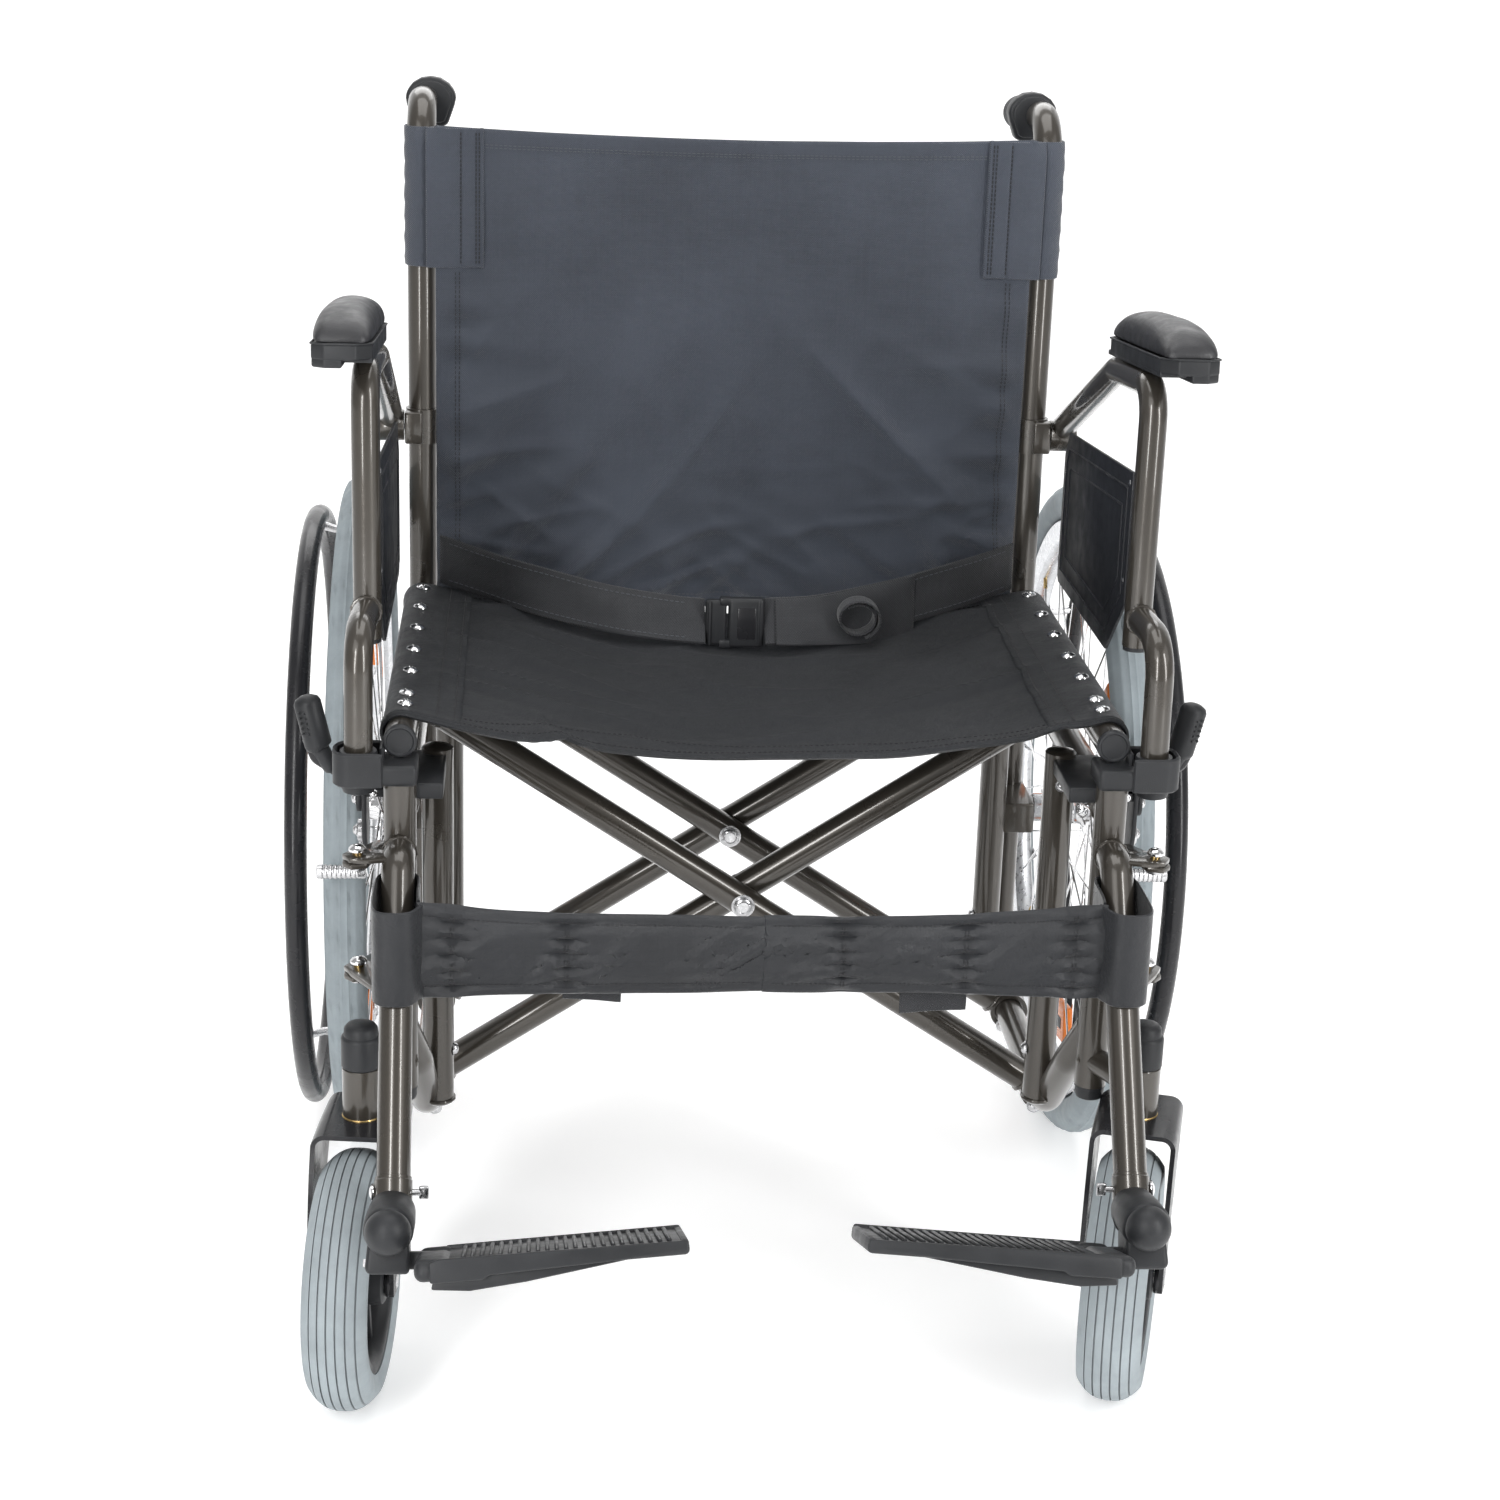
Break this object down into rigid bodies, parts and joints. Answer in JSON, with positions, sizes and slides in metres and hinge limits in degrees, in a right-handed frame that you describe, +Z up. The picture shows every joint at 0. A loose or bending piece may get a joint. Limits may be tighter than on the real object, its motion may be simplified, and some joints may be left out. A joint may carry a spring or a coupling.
{
  "type": "folding manual wheelchair",
  "caption": "Heavy-duty folding self-propelled wheelchair with sling seat and back, flip-back armrests, swing-away legrests, double cross brace and front casters.",
  "frame": {"origin": "bottom centre of the bounding box, on the floor between the wheels", "axes": "+Z up, -Y the way the chair faces, +X the occupant's left hand"},
  "size_m": [0.7604, 1.0278, 0.954],
  "materials": {
    "side_frame_l": "gloss enamel, dark grey-brown",
    "front_saddle_l": "moulded, lightly grained",
    "upright_plug_l": "moulded, lightly grained",
    "caster_cap_l": "moulded, lightly grained",
    "push_grip_l": "moulded, lightly grained",
    "tyre_l": "grey non-marking rubber",
    "rim_l": "satin",
    "wheel_hub_l": "polished",
    "handrim_l": "gloss enamel, black",
    "axle_l": "polished",
    "caster_fork_l": "gloss enamel, black",
    "caster_tyre_l": "grey non-marking rubber",
    "caster_hub_l": "moulded, lightly grained",
    "armrest_tube_l": "gloss enamel, dark grey-brown",
    "armrest_base_l": "moulded, lightly grained",
    "armrest_pad_l": "padded vinyl",
    "side_panel_l": "moulded, lightly grained",
    "hanger_l": "gloss enamel, dark grey-brown",
    "foot_post_l": "moulded, lightly grained",
    "footplate_l": "moulded, lightly grained",
    "calf_strap_l": "webbing",
    "brake_mount_l": "moulded, lightly grained",
    "brake_lever_l": "moulded, lightly grained",
    "brake_shoe_l": "polished",
    "side_frame_r": "gloss enamel, dark grey-brown",
    "front_saddle_r": "moulded, lightly grained",
    "upright_plug_r": "moulded, lightly grained",
    "caster_cap_r": "moulded, lightly grained",
    "push_grip_r": "moulded, lightly grained",
    "tyre_r": "grey non-marking rubber",
    "rim_r": "satin",
    "wheel_hub_r": "polished",
    "handrim_r": "gloss enamel, black",
    "axle_r": "polished",
    "caster_fork_r": "gloss enamel, black",
    "caster_tyre_r": "grey non-marking rubber",
    "caster_hub_r": "moulded, lightly grained",
    "armrest_tube_r": "gloss enamel, dark grey-brown",
    "armrest_base_r": "moulded, lightly grained",
    "armrest_pad_r": "padded vinyl",
    "side_panel_r": "moulded, lightly grained",
    "hanger_r": "gloss enamel, dark grey-brown",
    "foot_post_r": "moulded, lightly grained",
    "footplate_r": "moulded, lightly grained",
    "calf_strap_r": "webbing",
    "brake_mount_r": "moulded, lightly grained",
    "brake_lever_r": "moulded, lightly grained",
    "brake_shoe_r": "polished",
    "cross_a": "gloss enamel, dark grey-brown",
    "cross_b": "gloss enamel, dark grey-brown",
    "rail_plug_l": "moulded, lightly grained",
    "rail_plug_r": "moulded, lightly grained",
    "pivot_bolt_front": "polished",
    "pivot_bolt_rear": "polished",
    "seat_sling": "coated nylon",
    "back_sling": "coated oxford weave",
    "belt_l": "webbing",
    "belt_r": "webbing",
    "belt_buckle": "moulded, lightly grained"
  },
  "bodies": {
    "frame_l": {"side_frame_l": "side_frame_l", "front_saddle_l": "front_saddle_l", "upright_plug_l": "upright_plug_l", "caster_cap_l": "caster_cap_l", "push_grip_l": "push_grip_l", "axle_l": "axle_l", "brake_mount_l": "brake_mount_l", "back_sling": "back_sling", "belt_l": "belt_l", "belt_buckle": "belt_buckle"},
    "wheel_l": {"tyre_l": "tyre_l", "rim_l": "rim_l", "wheel_hub_l": "wheel_hub_l", "handrim_l": "handrim_l"},
    "caster_swivel_l": {"caster_fork_l": "caster_fork_l"},
    "caster_wheel_l": {"caster_tyre_l": "caster_tyre_l", "caster_hub_l": "caster_hub_l"},
    "armrest_l": {"armrest_tube_l": "armrest_tube_l", "armrest_base_l": "armrest_base_l", "armrest_pad_l": "armrest_pad_l", "side_panel_l": "side_panel_l"},
    "legrest_l": {"hanger_l": "hanger_l", "foot_post_l": "foot_post_l", "calf_strap_l": "calf_strap_l"},
    "foot_l": {"footplate_l": "footplate_l"},
    "lock_lever_l": {"brake_lever_l": "brake_lever_l"},
    "lock_shoe_l": {"brake_shoe_l": "brake_shoe_l"},
    "frame_r": {"side_frame_r": "side_frame_r", "front_saddle_r": "front_saddle_r", "upright_plug_r": "upright_plug_r", "caster_cap_r": "caster_cap_r", "push_grip_r": "push_grip_r", "axle_r": "axle_r", "brake_mount_r": "brake_mount_r", "belt_r": "belt_r"},
    "wheel_r": {"tyre_r": "tyre_r", "rim_r": "rim_r", "wheel_hub_r": "wheel_hub_r", "handrim_r": "handrim_r"},
    "caster_swivel_r": {"caster_fork_r": "caster_fork_r"},
    "caster_wheel_r": {"caster_tyre_r": "caster_tyre_r", "caster_hub_r": "caster_hub_r"},
    "armrest_r": {"armrest_tube_r": "armrest_tube_r", "armrest_base_r": "armrest_base_r", "armrest_pad_r": "armrest_pad_r", "side_panel_r": "side_panel_r"},
    "legrest_r": {"hanger_r": "hanger_r", "foot_post_r": "foot_post_r", "calf_strap_r": "calf_strap_r"},
    "foot_r": {"footplate_r": "footplate_r"},
    "lock_lever_r": {"brake_lever_r": "brake_lever_r"},
    "lock_shoe_r": {"brake_shoe_r": "brake_shoe_r"},
    "brace_a": {"cross_a": "cross_a", "rail_plug_r": "rail_plug_r", "pivot_bolt_front": "pivot_bolt_front", "pivot_bolt_rear": "pivot_bolt_rear"},
    "brace_b": {"cross_b": "cross_b", "rail_plug_l": "rail_plug_l", "seat_sling": "seat_sling"}
  },
  "joints": [
    {"name": "fold", "type": "hinge", "parent": "frame_l", "child": "brace_a", "pos_m": [-0.262, 0.209, 0.15], "axis": [0, -1, 0], "range_deg": [0, 42], "deforming": ["seat_sling", "back_sling", "belt_l", "belt_r", "belt_buckle", "calf_strap_l", "calf_strap_r"]},
    {"name": "brace_scissor", "type": "hinge", "parent": "brace_a", "child": "brace_b", "pos_m": [0, 0.209, 0.32037], "axis": [0, -1, 0], "range_deg": [-84, 0]},
    {"name": "fold_right", "type": "hinge", "parent": "brace_b", "child": "frame_r", "pos_m": [0.262, 0.209, 0.15], "axis": [0, -1, 0], "range_deg": [0, 42]},
    {"name": "wheel_spin_l", "type": "hinge", "parent": "frame_l", "child": "wheel_l", "pos_m": [-0.33, 0.209, 0.305], "axis": [1, 0, 0], "continuous": true},
    {"name": "caster_swivel_l", "type": "hinge", "parent": "frame_l", "child": "caster_swivel_l", "pos_m": [-0.3055, -0.266, 0.236], "axis": [0, 0, 1], "continuous": true},
    {"name": "caster_roll_l", "type": "hinge", "parent": "caster_swivel_l", "child": "caster_wheel_l", "pos_m": [-0.31073, -0.31573, 0.1], "axis": [0.9945, -0.1045, 0], "continuous": true},
    {"name": "armrest_flip_l", "type": "hinge", "parent": "frame_l", "child": "armrest_l", "pos_m": [-0.305, 0.239, 0.655], "axis": [-1, 0, 0], "range_deg": [0, 95]},
    {"name": "legrest_swing_l", "type": "hinge", "parent": "frame_l", "child": "legrest_l", "pos_m": [-0.308, -0.243, 0.37], "axis": [0, 0, -1], "range_deg": [0, 90]},
    {"name": "footplate_flip_l", "type": "hinge", "parent": "legrest_l", "child": "foot_l", "pos_m": [-0.2475, -0.461, 0.191], "axis": [0, -0.9205, 0.3907], "range_deg": [0, 84]},
    {"name": "wheel_lock_l", "type": "hinge", "parent": "frame_l", "child": "lock_lever_l", "pos_m": [-0.312, -0.151, 0.435], "axis": [1, 0, 0], "range_deg": [0, 45]},
    {"name": "lock_shoe_turn_l", "type": "hinge", "parent": "frame_l", "child": "lock_shoe_l", "pos_m": [-0.312, -0.141, 0.405], "axis": [1, 0, 0], "range_deg": [0, 22.5]},
    {"name": "wheel_spin_r", "type": "hinge", "parent": "frame_r", "child": "wheel_r", "pos_m": [0.33, 0.209, 0.305], "axis": [1, 0, 0], "continuous": true},
    {"name": "caster_swivel_r", "type": "hinge", "parent": "frame_r", "child": "caster_swivel_r", "pos_m": [0.3055, -0.266, 0.236], "axis": [0, 0, 1], "continuous": true},
    {"name": "caster_roll_r", "type": "hinge", "parent": "caster_swivel_r", "child": "caster_wheel_r", "pos_m": [0.29088, -0.31382, 0.1], "axis": [0.9563, -0.2924, 0], "continuous": true},
    {"name": "armrest_flip_r", "type": "hinge", "parent": "frame_r", "child": "armrest_r", "pos_m": [0.305, 0.239, 0.655], "axis": [-1, 0, 0], "range_deg": [0, 95]},
    {"name": "legrest_swing_r", "type": "hinge", "parent": "frame_r", "child": "legrest_r", "pos_m": [0.308, -0.243, 0.37], "axis": [0, 0, 1], "range_deg": [0, 90]},
    {"name": "footplate_flip_r", "type": "hinge", "parent": "legrest_r", "child": "foot_r", "pos_m": [0.2475, -0.461, 0.191], "axis": [0, 0.9205, -0.3907], "range_deg": [0, 84]},
    {"name": "wheel_lock_r", "type": "hinge", "parent": "frame_r", "child": "lock_lever_r", "pos_m": [0.312, -0.151, 0.435], "axis": [1, 0, 0], "range_deg": [0, 45]},
    {"name": "lock_shoe_turn_r", "type": "hinge", "parent": "frame_r", "child": "lock_shoe_r", "pos_m": [0.312, -0.141, 0.405], "axis": [1, 0, 0], "range_deg": [0, 22.5]}
  ],
  "couplings": [
    {"joint": "brace_scissor", "follows": "fold", "ratio": -2},
    {"joint": "fold_right", "follows": "fold", "ratio": 1},
    {"joint": "footplate_flip_l", "follows": "fold", "ratio": 2},
    {"joint": "lock_shoe_turn_l", "follows": "wheel_lock_l", "ratio": 0.5},
    {"joint": "footplate_flip_r", "follows": "fold", "ratio": 2},
    {"joint": "lock_shoe_turn_r", "follows": "wheel_lock_r", "ratio": 0.5}
  ]
}
